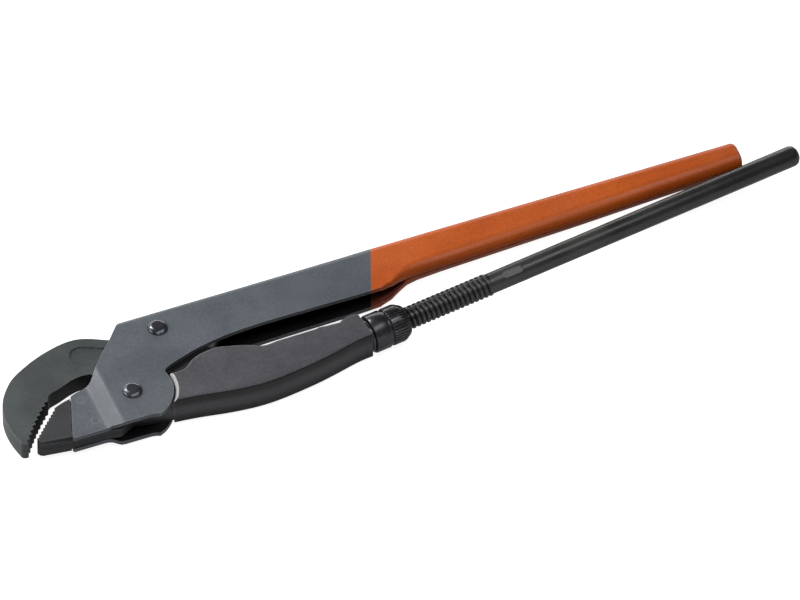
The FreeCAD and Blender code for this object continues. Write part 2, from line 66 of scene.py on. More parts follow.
MM = 0.001
print("nodes:", len(frame["nodes"]), "pivot at", [round(value, 4) for value in PIVOT])


# %% [markdown]
# ## Selecting by code
# Blender's operators act on whatever is selected, so each step first clears the selection. These
# two helpers do what a click does by hand: pick nothing, or pick exactly one object.

# %% Selection helpers
def deselect():
    bpy.ops.object.select_all(action="DESELECT")


def pick(piece):
    deselect()
    piece.select_set(True)
    bpy.context.view_layer.objects.active = piece


# %% [markdown]
# ## Camera
# A long tool is best shown from far away with a long lens, so that its two handles look parallel.
# It is seen from in front of its handles and from well above, turned a little to the left. The
# camera gets a direction and a distance from the point it aims at, because two angles are easier to
# read and to change than three coordinates.

# %% Camera
VIEW_WIDTH = 0.5208          # metres of the scene that the view takes in, at the tool
LENS, SENSOR = 1200.0, 36.0
AZIMUTH, ELEVATION = math.radians(-21.55), math.radians(48.0)
AIM_FROM_PIVOT = Vector((194.2, 19.0, 0.0)) * MM
aim = PIVOT + AIM_FROM_PIVOT
back = Vector((math.sin(AZIMUTH) * math.cos(ELEVATION), -math.cos(AZIMUTH) * math.cos(ELEVATION),
               math.sin(ELEVATION)))
bpy.ops.object.camera_add(location=aim + back * (VIEW_WIDTH * LENS / SENSOR))
camera = bpy.context.object
camera.name = "camera"
camera.rotation_euler = back.to_track_quat("Z", "Y").to_euler()
camera.data.lens, camera.data.sensor_width = LENS, SENSOR
camera.data.clip_end = 100.0
bpy.context.scene.camera = camera
print("camera stands", round((camera.location - aim).length, 1), "m away")


# %% [markdown]
# ## Light
# Enamel and black steel are drawn by what they mirror, so the lamps are soft and each has one job.
# The key at the upper left lights the edges that face the jaws. A long lamp overhead opens the flat
# faces, and a small one behind it lights the bend of the cheeks more than the rest. A low lamp
# behind draws the rims of the handles, and a weak strip in front lifts the undersides. The
# surroundings stay dim, so that the hollow of the handle goes dark.

# %% Lamps and world
def area_lamp(name, toward, distance, width, height, watts):
    """A soft lamp that looks at the tool from the direction `toward`."""
    direction = Vector(toward).normalized()
    bpy.ops.object.light_add(type="AREA", location=aim + direction * distance)
    lamp = bpy.context.object
    lamp.name = name
    lamp.rotation_euler = direction.to_track_quat("Z", "Y").to_euler()
    lamp.data.shape = "RECTANGLE"
    lamp.data.size, lamp.data.size_y, lamp.data.energy = width, height, watts


# name, direction from the tool, distance, width, height, watts
LAMPS = (("left_key", (-1.0, 0.20, 0.55), 1.5, 0.9, 0.6, 12.0),
         ("overhead", (0.10, -0.32, 1.0), 1.6, 1.8, 0.45, 12.5),
         ("bend_light", (-0.33, 0.62, 0.72), 1.5, 0.30, 0.30, 14.0),
         ("back_rim", (-0.05, 1.0, 0.22), 1.6, 3.2, 0.28, 17.0),
         ("front_strip", (0.1, -1.0, 0.12), 1.6, 2.4, 0.22, 3.0))
for lamp_settings in LAMPS:
    area_lamp(*lamp_settings)
world = bpy.context.scene.world or bpy.data.worlds.new("world")
bpy.context.scene.world = world
world.use_nodes = True
surroundings = world.node_tree.nodes["Background"]
surroundings.inputs["Color"].default_value = (1.0, 1.0, 1.0, 1.0)
surroundings.inputs["Strength"].default_value = 0.16
bpy.context.scene.view_settings.view_transform = "Standard"
print("lamps:", len(LAMPS), "with", sum(row[-1] for row in LAMPS), "watts in all")


# %% [markdown]
# ## Node helpers
# A material is a small machine of nodes. These helpers add a node, join two sockets, and build a
# named group with its inputs and outputs, so that each finish below reads as a short recipe.
# Numbers that are the same all over a surface don't need nodes and are set on the shader itself.

# %% Node helpers
def add_node(tree, kind, **settings):
    node = tree.nodes.new(kind)
    for key, value in settings.items():
        setattr(node, key, value)
    return node


def join(tree, source, target):
    """Put a socket, or a plain value, into an input socket."""
    if isinstance(source, bpy.types.NodeSocket):
        tree.links.new(source, target)
    else:
        target.default_value = source


def maths(tree, operation, first, second=0.0, clamp=False):
    node = add_node(tree, "ShaderNodeMath", operation=operation, use_clamp=clamp)
    join(tree, first, node.inputs[0])
    join(tree, second, node.inputs[1])
    return node.outputs[0]


def remap(tree, value, low, high, to_low=0.0, to_high=1.0):
    node = add_node(tree, "ShaderNodeMapRange", interpolation_type="SMOOTHSTEP")
    for socket, number in zip(node.inputs[:5], (value, low, high, to_low, to_high)):
        join(tree, number, socket)
    return node.outputs[0]


def blend(tree, factor, first, second):
    """Mix two colours."""
    node = add_node(tree, "ShaderNodeMix", data_type="RGBA")
    for socket, value in zip((node.inputs[0], node.inputs[6], node.inputs[7]),
                             (factor, first, second)):
        join(tree, value, socket)
    return node.outputs[2]


def new_group(name, inputs, outputs):
    """A node group with float inputs {name: default} and outputs {name: socket type}."""
    group = bpy.data.node_groups.new(name, "ShaderNodeTree")
    for label, default in inputs.items():
        socket = group.interface.new_socket(label, in_out="INPUT", socket_type="NodeSocketFloat")
        socket.default_value = default
    for label, kind in outputs.items():
        group.interface.new_socket(label, in_out="OUTPUT", socket_type=kind)
    return group, add_node(group, "NodeGroupInput"), add_node(group, "NodeGroupOutput")


def use_group(tree, group, **values):
    node = add_node(tree, "ShaderNodeGroup", node_tree=group)
    for label, value in values.items():
        join(tree, value, node.inputs[label])
    return node


def noise(tree, place, scale, detail=4.0, rough=0.55):
    node = add_node(tree, "ShaderNodeTexNoise")
    join(tree, place, node.inputs["Vector"])
    join(tree, scale, node.inputs["Scale"])
    node.inputs["Detail"].default_value = detail
    node.inputs["Roughness"].default_value = rough
    return node.outputs["Fac"]


# %% [markdown]
# ## Worn edges
# Paint and black scale are thinnest on an edge, and handling rubs them bright. A Bevel node gives
# the normal that a rounded edge would have: where it leaves the true normal, there is an edge. A
# noise breaks that band up so that the wear is uneven.

# %% Group: edge_wear
FLOAT = "NodeSocketFloat"
edge_wear, inside, out = new_group("edge_wear", {"Width": 0.0008, "Breakup": 0.5},
                                   {"Mask": FLOAT})
rounded = add_node(edge_wear, "ShaderNodeBevel", samples=4)
join(edge_wear, inside.outputs["Width"], rounded.inputs["Radius"])
true_normal = add_node(edge_wear, "ShaderNodeNewGeometry")
likeness = add_node(edge_wear, "ShaderNodeVectorMath", operation="DOT_PRODUCT")
join(edge_wear, rounded.outputs["Normal"], likeness.inputs[0])
join(edge_wear, true_normal.outputs["Normal"], likeness.inputs[1])
band = remap(edge_wear, likeness.outputs["Value"], 0.995, 0.90)
place = add_node(edge_wear, "ShaderNodeTexCoord").outputs["Object"]
patches = remap(edge_wear, noise(edge_wear, place, 260.0), 0.35, 0.62)
kept = maths(edge_wear, "MULTIPLY", maths(edge_wear, "SUBTRACT", 1.0, patches),
             inside.outputs["Breakup"])
join(edge_wear, maths(edge_wear, "MULTIPLY", band, maths(edge_wear, "SUBTRACT", 1.0, kept)),
     out.inputs["Mask"])
print("edge_wear:", len(edge_wear.nodes), "nodes")

# %% [markdown]
# ## Skin
# Sprayed enamel, phosphated forgings and sand castings all have a fine skin of their own. One group
# makes it from two noises: a fine one for the grain, and a broad one for the faint clouds that
# handling and spraying leave. It gives a height for the bump and two tones for colour and gloss.

# %% Group: skin
skin, inside, out = new_group("skin", {"Grain": 1800.0, "Cloud": 26.0},
                              {"Height": FLOAT, "Speckle": FLOAT, "Clouds": FLOAT})
place = add_node(skin, "ShaderNodeTexCoord").outputs["Object"]
fine = noise(skin, place, inside.outputs["Grain"], 3.0, 0.6)
join(skin, fine, out.inputs["Height"])
join(skin, remap(skin, fine, 0.30, 0.70), out.inputs["Speckle"])
join(skin, remap(skin, noise(skin, place, inside.outputs["Cloud"], 5.0), 0.32, 0.68),
     out.inputs["Clouds"])
print("skin:", len(skin.nodes), "nodes")

# %% [markdown]
# ## Scuffs
# Long thin scratches run along the tool. A noise stretched hard along one axis draws them, and only
# its highest peaks are kept.

# %% Group: scuffs
scuffs, inside, out = new_group("scuffs", {"Density": 0.5}, {"Mask": FLOAT})
place = add_node(scuffs, "ShaderNodeTexCoord").outputs["Object"]
stretch = add_node(scuffs, "ShaderNodeMapping")
join(scuffs, place, stretch.inputs["Vector"])
stretch.inputs["Scale"].default_value = (30.0, 1500.0, 900.0)
stretch.inputs["Rotation"].default_value = (0.0, 0.0, math.radians(12.0))
lines = noise(scuffs, stretch.outputs["Vector"], 1.0, 2.0, 0.4)
threshold = maths(scuffs, "SUBTRACT", 0.86, maths(scuffs, "MULTIPLY", inside.outputs["Density"],
                                                  0.12))
join(scuffs, maths(scuffs, "MULTIPLY", maths(scuffs, "SUBTRACT", lines, threshold), 8.0, True),
     out.inputs["Mask"])
print("scuffs:", len(scuffs.nodes), "nodes")


# %% [markdown]
# ## Crevices
# Painted shade: tooth roots, the knurl and the bend of the cheeks are darkened, as the shade in them
# would be. Ambient occlusion measures how enclosed a point is. It looks only at the piece that it is
# on, so that the painted shade doesn't jump when two pieces move past each other.

# %% Group: crevices
# Painted shade: each piece comes out darker where it is enclosed.
crevice_shading, inside, out = new_group("crevice_shading", {"Reach": 0.0015}, {"Mask": FLOAT})
enclosed = add_node(crevice_shading, "ShaderNodeAmbientOcclusion", samples=6, only_local=True)
join(crevice_shading, inside.outputs["Reach"], enclosed.inputs["Distance"])
join(crevice_shading, remap(crevice_shading, enclosed.outputs["AO"], 0.86, 0.45), out.inputs["Mask"])
print("crevices:", len(crevice_shading.nodes), "nodes")

# %% [markdown]
# ## Parting line
# Drop forging squeezes the steel between two dies. The thin flash that is left between them is
# trimmed off, and a faint line stays round the middle of every side face.

# %% Group: parting_line
parting, inside, out = new_group("parting_line", {"Middle": 0.0}, {"Mask": FLOAT})
place = add_node(parting, "ShaderNodeTexCoord").outputs["Object"]
where = add_node(parting, "ShaderNodeSeparateXYZ")
join(parting, place, where.inputs[0])
wander = maths(parting, "MULTIPLY", maths(parting, "SUBTRACT", noise(parting, place, 90.0), 0.5),
               0.0006)
level = maths(parting, "ADD", maths(parting, "SUBTRACT", where.outputs["Z"],
                                    inside.outputs["Middle"]), wander)
join(parting, remap(parting, maths(parting, "ABSOLUTE", level), 0.0009, 0.0004),
     out.inputs["Mask"])
print("parting_line:", len(parting.nodes), "nodes")

# %% [markdown]
# ## Finishes
# Every finish is the same stack: a base colour that clouds and speckles shift a little, painted shade
# in the crevices, bare metal on worn edges, a roughness that follows the clouds, and a bump from the
# skin.

# %% Finish builder
# Painted shade: the near-black colour that enclosed places are mixed towards, and how far.
CREVICE_SHADE = (0.008, 0.008, 0.008, 1.0)
CREVICE_SHADE_COVER, SCRATCH_COVER, SCRATCH_DENSITY = 0.7, 0.25, 0.35
WEAR_WIDTH, SKIN_HEIGHT = 0.8 * MM, 0.06 * MM


def finish(name, colour, cloud_colour, bare_and_glint, roughness, metallic, grain, bump, wear=0.6,
           specular=0.5, colour_of=None):
    """A painted or blackened steel. `colour_of(tree, base)` may lay another coat over the base."""
    material = bpy.data.materials.new(name)
    material.use_nodes = True
    tree = material.node_tree
    shader = tree.nodes["Principled BSDF"]
    surface = use_group(tree, skin, Grain=grain)
    base = blend(tree, surface.outputs["Clouds"], (*colour, 1.0), (*cloud_colour, 1.0))
    if colour_of is not None:
        base = colour_of(tree, base)
    speck = add_node(tree, "ShaderNodeHueSaturation")
    join(tree, base, speck.inputs["Color"])
    join(tree, remap(tree, surface.outputs["Speckle"], 0.0, 1.0, 0.88, 1.14), speck.inputs["Value"])
    # Painted shade in the enclosed places of the piece.
    crevice_shade = maths(tree, "MULTIPLY", use_group(tree, crevice_shading).outputs["Mask"], CREVICE_SHADE_COVER)
    crevice_shaded = blend(tree, crevice_shade, speck.outputs["Color"], CREVICE_SHADE)
    edges = use_group(tree, edge_wear, Width=WEAR_WIDTH)
    scratched = use_group(tree, scuffs, Density=SCRATCH_DENSITY).outputs["Mask"]
    worn = maths(tree, "MULTIPLY", edges.outputs["Mask"], wear)
    worn = maths(tree, "MAXIMUM", worn, maths(tree, "MULTIPLY", scratched, SCRATCH_COVER))
    join(tree, blend(tree, worn, crevice_shaded, (*bare_and_glint, 1.0)), shader.inputs["Base Color"])
    gloss = remap(tree, surface.outputs["Clouds"], 0.0, 1.0, roughness - 0.04, roughness + 0.06)
    join(tree, gloss, shader.inputs["Roughness"])
    join(tree, maths(tree, "MAXIMUM", worn, metallic), shader.inputs["Metallic"])
    shader.inputs["Specular IOR Level"].default_value = specular
    relief = add_node(tree, "ShaderNodeBump")
    relief.inputs["Strength"].default_value = bump
    relief.inputs["Distance"].default_value = SKIN_HEIGHT
    join(tree, surface.outputs["Height"], relief.inputs["Height"])
    join(tree, relief.outputs["Normal"], shader.inputs["Normal"])
    return material


# %% [markdown]
# ## The handle's two colours
# The handle is dipped: grey enamel over the head, orange over the grip, and the line between them is
# straight and crisp but not square to the tool. The inside of the channel is coloured near-black as
# painted shade. The line is found by place, and the inside by a mark on its faces.

# %% Handle enamel
ORANGE, ORANGE_CLOUD = (0.340, 0.057, 0.003), (0.385, 0.069, 0.004)
# Painted shade: the inside of the channel is near-black under the grey and dark brown under the orange.
HOLLOW_SHADE_GREY, HOLLOW_SHADE_ORANGE = (0.004, 0.004, 0.005, 1.0), (0.130, 0.030, 0.016, 1.0)
BOUNDARY_FOOT, BOUNDARY_TOP = Vector((176.9, 26.5, 0.0)), Vector((188.8, 57.6, 0.0))
BOUNDARY_BLUR = 0.1 * MM


def handle_colours(tree, grey):
    place = add_node(tree, "ShaderNodeTexCoord").outputs["Object"]
    line = (BOUNDARY_TOP - BOUNDARY_FOOT).normalized()
    across = Vector((line.y, -line.x, 0.0))
    side = add_node(tree, "ShaderNodeVectorMath", operation="DOT_PRODUCT")
    join(tree, place, side.inputs[0])
    side.inputs[1].default_value = across
    edge = across.dot(PIVOT + BOUNDARY_FOOT * MM)
    orange_side = remap(tree, side.outputs["Value"], edge - BOUNDARY_BLUR, edge + BOUNDARY_BLUR)
    clouds = remap(tree, noise(tree, place, 22.0, 3.0), 0.35, 0.65)
    orange = blend(tree, clouds, (*ORANGE, 1.0), (*ORANGE_CLOUD, 1.0))
    painted = blend(tree, orange_side, grey, orange)
    # Faces marked as looking into the hollow get the painted shade.
    hollow_shade = add_node(tree, "ShaderNodeAttribute", attribute_name="hollow_shade").outputs["Fac"]
    hollow_shaded = blend(tree, orange_side, HOLLOW_SHADE_GREY, HOLLOW_SHADE_ORANGE)
    return blend(tree, hollow_shade, painted, hollow_shaded)


handle_enamel = finish("handle_enamel", (0.058, 0.067, 0.078), (0.070, 0.079, 0.091),
                       (0.42, 0.40, 0.39), 0.42, 0.0, 1000.0, 0.9, wear=0.35, specular=0.32,
                       colour_of=handle_colours)
orange_cap = finish("orange_cap", ORANGE, ORANGE_CLOUD, (0.75, 0.32, 0.10), 0.42, 0.0, 1500.0, 0.4,
                    wear=0.3)
print("enamel changes colour", round(BOUNDARY_FOOT.x), "to", round(BOUNDARY_TOP.x), "mm from the pivot")


# %% [markdown]
# ## The hook's pressed panel
# A shallow panel with a round end is pressed into the neck of the hook, and its outline is drawn dark
# as painted shade. The outline is a straight line with a half circle at its end. The distance to it is
# found in the panel's own turned coordinates, and a narrow band of that distance is kept.

# %% Panel outline
PANEL_POINT, PANEL_TURN = PIVOT + Vector((-18.5, 44.4, 0.0)) * MM, math.radians(-25.0)
PANEL_RADIUS = 7.25 * MM
# Painted shade along the panel's outline: none at the outer width, full at the inner one.
OUTLINE_SHADE_OUTER, OUTLINE_SHADE_FULL = 1.0 * MM, 0.4 * MM
PANEL_FOOT, PANEL_CLEAR = PIVOT.y + 25 * MM, PIVOT.y + 27 * MM


def panel_outline_shade(tree, place, height):
    """A painted shade line along the round-ended outline of the panel, above the foot of the hook's
    neck.
    """
    turned = add_node(tree, "ShaderNodeMapping", vector_type="TEXTURE")
    join(tree, place, turned.inputs["Vector"])
    turned.inputs["Location"].default_value = PANEL_POINT
    turned.inputs["Rotation"].default_value = (0.0, 0.0, PANEL_TURN)
    local = add_node(tree, "ShaderNodeSeparateXYZ")
    join(tree, turned.outputs["Vector"], local.inputs[0])
    before_end = maths(tree, "MINIMUM", local.outputs["X"], 0.0)
    along = maths(tree, "MULTIPLY", before_end, before_end)
    aside = maths(tree, "MULTIPLY", local.outputs["Y"], local.outputs["Y"])
    reach = maths(tree, "SQRT", maths(tree, "ADD", along, aside))
    off_line = maths(tree, "ABSOLUTE", maths(tree, "SUBTRACT", reach, PANEL_RADIUS))
    line = remap(tree, off_line, OUTLINE_SHADE_OUTER, OUTLINE_SHADE_FULL)
    return maths(tree, "MULTIPLY", line, remap(tree, height, PANEL_FOOT, PANEL_CLEAR))


# %% [markdown]
# ## Forged jaws
# Both jaws are drop forgings with a thin black scale. The seam of the dies is darker. The walls of the
# hook that look into the mouth are painted near-black as shade, and so is the shank inside the handle.
# The lower jaw has the same steel with a darker scale and no panel.

# %% Forged steel
BLACK_SCALE_AND_SHADE = (0.006, 0.007, 0.007, 1.0)
# The first number darkens the seam; the second is the painted shade on the throat walls.
SEAM_COVER, THROAT_SHADE_COVER = 0.75, 0.85
# Painted shade: the shank inside the handle goes black between these two places.
SHANK_SHADE_START, SHANK_SHADE_FULL = PIVOT.x + 18 * MM, PIVOT.x + 25 * MM


def hook_colours(tree, steel):
    seam = use_group(tree, parting, Middle=PIVOT.z).outputs["Mask"]
    throat_shade = add_node(tree, "ShaderNodeAttribute", attribute_name="throat_shade").outputs["Fac"]
    place = add_node(tree, "ShaderNodeTexCoord").outputs["Object"]
    where = add_node(tree, "ShaderNodeSeparateXYZ")
    join(tree, place, where.inputs[0])
    # Painted shade on the throat walls and the shank; the seam of the dies is the forging's own.
    dark = maths(tree, "MAXIMUM", maths(tree, "MULTIPLY", seam, SEAM_COVER),
                 maths(tree, "MULTIPLY", throat_shade, THROAT_SHADE_COVER))
    dark = maths(tree, "MAXIMUM", dark, panel_outline_shade(tree, place, where.outputs["Y"]))
    shank_shade = remap(tree, where.outputs["X"], SHANK_SHADE_START, SHANK_SHADE_FULL)
    return blend(tree, maths(tree, "MAXIMUM", dark, shank_shade), steel, BLACK_SCALE_AND_SHADE)


def jaw_colours(tree, steel):
    seam = use_group(tree, parting, Middle=PIVOT.z).outputs["Mask"]
    return blend(tree, maths(tree, "MULTIPLY", seam, SEAM_COVER), steel, BLACK_SCALE_AND_SHADE)


forged_steel = finish("forged_steel", (0.020, 0.026, 0.027), (0.029, 0.036, 0.037),
                      (0.30, 0.31, 0.31), 0.46, 0.20, 900.0, 0.9, wear=0.35,
                      colour_of=hook_colours)
jaw_steel = finish("jaw_steel", (0.013, 0.014, 0.017), (0.020, 0.021, 0.024),
                   (0.30, 0.31, 0.31), 0.48, 0.20, 900.0, 0.9, wear=0.3, specular=0.35,
                   colour_of=jaw_colours)
print("forged finishes:", forged_steel.name, "and", jaw_steel.name)


# %% [markdown]
# ## Cast yoke
# The yoke is a casting under a dull dark skin. Its sides get a painted shade that darkens towards their
# rims and leaves their middle paler, and one small shoulder gets a painted highlight. The height over
# the middle plane gives the first, and a mark on the faces gives the second.

# %% Yoke casting
# Painted shade on the yoke's sides: none near the middle plane, full near the rims.
SIDE_SHADE, SIDE_SHADE_COVER = (0.006, 0.006, 0.006, 1.0), 0.95
SIDE_SHADE_START, SIDE_SHADE_FULL = 1.0 * MM, 8.0 * MM
# Painted highlights: a grey tone for the yoke's shoulder and a brighter one for the walls of the rod's
# thumb slot.
SHOULDER_GLINT_TONE, SLOT_GLINT_TONE = 0.32, 0.80


def glint_colours(tree, covered, tone):
    """A painted highlight of one grey tone on the marked faces."""
    bare_and_glint = add_node(tree, "ShaderNodeAttribute", attribute_name="bare_and_glint").outputs["Fac"]
    return blend(tree, bare_and_glint, covered, (tone, tone, tone, 1.0))


def cast_colours(tree, skin_colour):
    side = add_node(tree, "ShaderNodeAttribute", attribute_name="side").outputs["Fac"]
    where = add_node(tree, "ShaderNodeSeparateXYZ")
    join(tree, add_node(tree, "ShaderNodeTexCoord").outputs["Object"], where.inputs[0])
    height = maths(tree, "ABSOLUTE", maths(tree, "SUBTRACT", where.outputs["Z"], PIVOT.z))
    # Painted shade: side faces darken with their height over the middle plane.
    side_shade = remap(tree, height, SIDE_SHADE_START, SIDE_SHADE_FULL, 0.0, SIDE_SHADE_COVER)
    side_shaded = blend(tree, maths(tree, "MULTIPLY", side_shade, side), skin_colour, SIDE_SHADE)
    return glint_colours(tree, side_shaded, SHOULDER_GLINT_TONE)


yoke_casting = finish("yoke_casting", (0.043, 0.043, 0.051), (0.056, 0.055, 0.063),
                      (0.40, 0.40, 0.41), 0.44, 0.10, 700.0, 0.8, wear=0.45, specular=0.32,
                      colour_of=cast_colours)
print("finish of the yoke:", yoke_casting.name)


# %% [markdown]
# ## Rod, nut and rivets
# The turned parts are chemically blackened, which leaves a dark metal and no paint. The rod is the
# dullest of them. Its thread gets a painted shade between the ridges, and the distance from the rod's
# axis decides between shade and steel. The small parts inside the tool are left bright.

# %% Blackened and bright steel
# Painted shade: the thread's grooves go near-black below the ridge radius.
GROOVE_SHADE = (0.004, 0.004, 0.004, 1.0)
RIDGE_CLEAR, GROOVE_FLOOR = 7.50 * MM, 6.85 * MM
THREAD_END = PIVOT.x + 253.0 * MM


def rod_colours(tree, steel):
    place = add_node(tree, "ShaderNodeTexCoord").outputs["Object"]
    where = add_node(tree, "ShaderNodeSeparateXYZ")
    join(tree, place, where.inputs[0])
    from_axis = add_node(tree, "ShaderNodeVectorMath", operation="SUBTRACT")
    join(tree, place, from_axis.inputs[0])
    from_axis.inputs[1].default_value = NUT_POINT
    sideways = add_node(tree, "ShaderNodeVectorMath", operation="CROSS_PRODUCT")
    join(tree, from_axis.outputs["Vector"], sideways.inputs[0])
    sideways.inputs[1].default_value = ROD_AXIS
    radius = add_node(tree, "ShaderNodeVectorMath", operation="LENGTH")
    join(tree, sideways.outputs["Vector"], radius.inputs[0])
    # Painted shade deepens from the ridge radius down to the groove floor.
    groove_shade = remap(tree, radius.outputs["Value"], RIDGE_CLEAR, GROOVE_FLOOR)
    threaded = maths(tree, "LESS_THAN", where.outputs["X"], THREAD_END)
    groove_shaded = blend(tree, maths(tree, "MULTIPLY", groove_shade, threaded), steel, GROOVE_SHADE)
    return glint_colours(tree, groove_shaded, SLOT_GLINT_TONE)


black_steel = finish("black_steel", (0.038, 0.038, 0.043), (0.054, 0.054, 0.060),
                     (0.30, 0.30, 0.31), 0.30, 0.85, 1400.0, 0.4, wear=0.4)
rod_steel = finish("rod_steel", (0.048, 0.050, 0.048), (0.068, 0.070, 0.067),
                   (0.20, 0.20, 0.21), 0.36, 0.85, 1400.0, 0.5, wear=0.2, colour_of=rod_colours)
rivet_steel = finish("rivet_steel", (0.055, 0.058, 0.068), (0.075, 0.078, 0.090),
                     (0.30, 0.31, 0.33), 0.24, 0.9, 1400.0, 0.3, wear=0.12)
bright_steel = finish("bright_steel", (0.30, 0.30, 0.30), (0.34, 0.34, 0.33),
                      (0.5, 0.5, 0.5), 0.36, 1.0, 1600.0, 0.3, wear=0.3)
print("finishes:", len(bpy.data.materials))


# %% [markdown]
# ## Breaking the edges
# An engineering model's edges are knife sharp, and no real edge is. Each shown part is copied, its
# loose triangles are merged and its flats joined back into single faces. Then a Bevel modifier
# rounds every sharp edge, and Weighted Normals keep the flats looking flat beside the round.

# %% Copy and finish a node
SAME_POINT = 0.002 * MM


def finished_copy(node, piece_name, body, paint, edge):
    mesh = frame["nodes"][node].data.copy()
    mesh.name = piece_name
    mesh.materials.clear()
    mesh.materials.append(paint)
    piece = bpy.data.objects.new(piece_name, mesh)
    bpy.context.collection.objects.link(piece)
    pick(piece)
    bpy.ops.object.mode_set(mode="EDIT")
    bpy.ops.mesh.select_all(action="SELECT")
    bpy.ops.mesh.customdata_custom_splitnormals_clear()
    bpy.ops.mesh.remove_doubles(threshold=SAME_POINT)
    bpy.ops.mesh.dissolve_limited(angle_limit=math.radians(0.4))
    bpy.ops.object.mode_set(mode="OBJECT")
    bpy.ops.object.shade_smooth()
    if edge:
        bevel = piece.modifiers.new("broken_edge", "BEVEL")
        bevel.width, bevel.segments = edge * MM, 2
        bevel.limit_method, bevel.angle_limit = "ANGLE", math.radians(32.0)
        bevel.use_clamp_overlap = True
        bpy.ops.object.modifier_apply(modifier=bevel.name)
    bpy.ops.object.shade_smooth_by_angle(angle=math.radians(40.0))
    even = piece.modifiers.new("flat_faces", "WEIGHTED_NORMAL")
    even.keep_sharp = True
    bpy.ops.object.modifier_apply(modifier=even.name)
    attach(piece, body)
    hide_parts(node)
    print(piece_name, len(piece.data.polygons), "faces")
    return piece


# %% [markdown]
# ## Marks on faces
# A material can't know which wall it is on. Three rules pick faces by their place and the way they
# look, and a mark of 1 or 0 is stored on each face for the material to read.

# %% Rules for the marks
def mark_faces(piece, label, wanted):
    """Write 1.0 on each face that `wanted(face)` accepts."""
    mark = piece.data.attributes.new(label, "FLOAT", "FACE")
    for face in piece.data.polygons:
        mark.data[face.index].value = 1.0 if wanted(face) else 0.0
    return sum(1 for entry in mark.data if entry.value > 0.5)


THROAT_POINT = PIVOT + Vector((-48.0, 4.0, 0.0)) * MM


def in_throat(face):
    """A side wall that looks into the mouth of the jaws, which gets a painted shade."""
    inward = THROAT_POINT - face.center
    inward.z = 0.0
    return abs(face.normal.z) < 0.8 and face.normal.dot(inward) > 0.0


def on_shoulder(face):
    """The turned shoulder of the yoke, which gets a painted highlight."""
    gap = face.center - PIVOT
    flat = Vector((gap.x, gap.y, 0.0))
    inward = -face.normal.dot(flat.normalized())
    return gap.x > 0.0 and flat.length < 34.0 * MM and inward > 0.35 and face.normal.z > 0.3


# %% [markdown]
# ## Jaws, yoke, rivets and cap
# The forgings and the casting get edges broken by about half a millimetre. The rivet heads are round
# already and keep their shape. Parts that are hidden inside the tool only change their material.

# %% Finish the plain parts
hook = finished_copy("hook_jaw", "hook", "hook", forged_steel, 0.4)
print("faces in the hook's throat:", mark_faces(hook, "throat_shade", in_throat))
finished_copy("lower_jaw", "jaw_block", "frame", jaw_steel, 0.4)
yoke = finished_copy("yoke", "yoke_body", "yoke", yoke_casting, 0.5)
print("faces on the yoke's shoulder:", mark_faces(yoke, "bare_and_glint", on_shoulder))
print("faces on its sides:", mark_faces(yoke, "side", lambda face: abs(face.normal.z) < 0.75))
finished_copy("guide_rivet", "guide_rivet_head", "frame", rivet_steel, 0.0)
finished_copy("pivot_rivet", "pivot_rivet_head", "frame", rivet_steel, 0.0)
finished_copy("end_plug", "handle_cap", "frame", orange_cap, 0.3)
KEPT_SHAPES = {"jaw_rivets": handle_enamel, "guide_sleeve": bright_steel,
               "pivot_sleeve": bright_steel, "hook_spring": bright_steel,
               "spring_rivet": bright_steel, "thrust_washer": black_steel,
               "tail_pin": bright_steel}
for name, paint in KEPT_SHAPES.items():
    node = frame["nodes"][name]
    node.data.materials.clear()
    node.data.materials.append(paint)
print("parts that keep their shape:", len(KEPT_SHAPES))


# %% [markdown]
# ## The folded handle
# The handle is one pressed sheet, so its inside is a real surface and not a solid's. A face looks into
# the hollow when it faces the middle line of the channel. Each such face gets the mark for the painted
# shade that the enamel reads.

# %% Handle sheet
CHANNEL_MIDDLE = PIVOT + Vector((0.0, 45.0, 0.0)) * MM


def faces_the_hollow(face):
    out_of_middle = face.center - CHANNEL_MIDDLE
    return face.normal.y * out_of_middle.y + face.normal.z * out_of_middle.z < -2.0 * MM


sheet_piece = finished_copy("main_handle", "handle_sheet", "frame", handle_enamel,
                            0.6)
print("faces inside the handle:", mark_faces(sheet_piece, "hollow_shade", faces_the_hollow))

# %% [markdown]
# ## The rod
# The thread is rolled into the middle of the rod. The engineering rod has plain rings there, so that
# length is cut away with two planes, square to the axis, and the open ends are bridged by a smooth
# core. The two ends keep their shape, with the slot, the rounded tip and the flat tang.

# %% Rod ends and core
ROD_STATION, ROD_OFFSET = 162.7, -2.2
FRONT_CUT, REAR_CUT = 151.0, 258.6
ROD_POINT = PIVOT + Vector((ROD_STATION, ROD_OFFSET, 0.0)) * MM
if ROD_AXIS.x < 0:
    ROD_AXIS.negate()
ROD_TURN = math.atan2(ROD_AXIS.y, ROD_AXIS.x)


def on_rod(station):
    """Point of the rod's axis at a distance along X from the pivot, given in millimetres."""
    return ROD_POINT + ROD_AXIS * ((station - ROD_STATION) * MM / ROD_AXIS.x)


def rod_half(name, station, keep_front):
    mesh = frame["nodes"]["threaded_rod"].data.copy()
    mesh.materials.clear()
    half = bpy.data.objects.new(name, mesh)
    bpy.context.collection.objects.link(half)
    pick(half)
    bpy.ops.object.mode_set(mode="EDIT")
    bpy.ops.mesh.select_all(action="SELECT")
    bpy.ops.mesh.customdata_custom_splitnormals_clear()
    bpy.ops.mesh.remove_doubles(threshold=SAME_POINT)
    bpy.ops.mesh.bisect(plane_co=on_rod(station), plane_no=ROD_AXIS, clear_inner=not keep_front,
                        clear_outer=keep_front)
    bpy.ops.object.mode_set(mode="OBJECT")
    return half


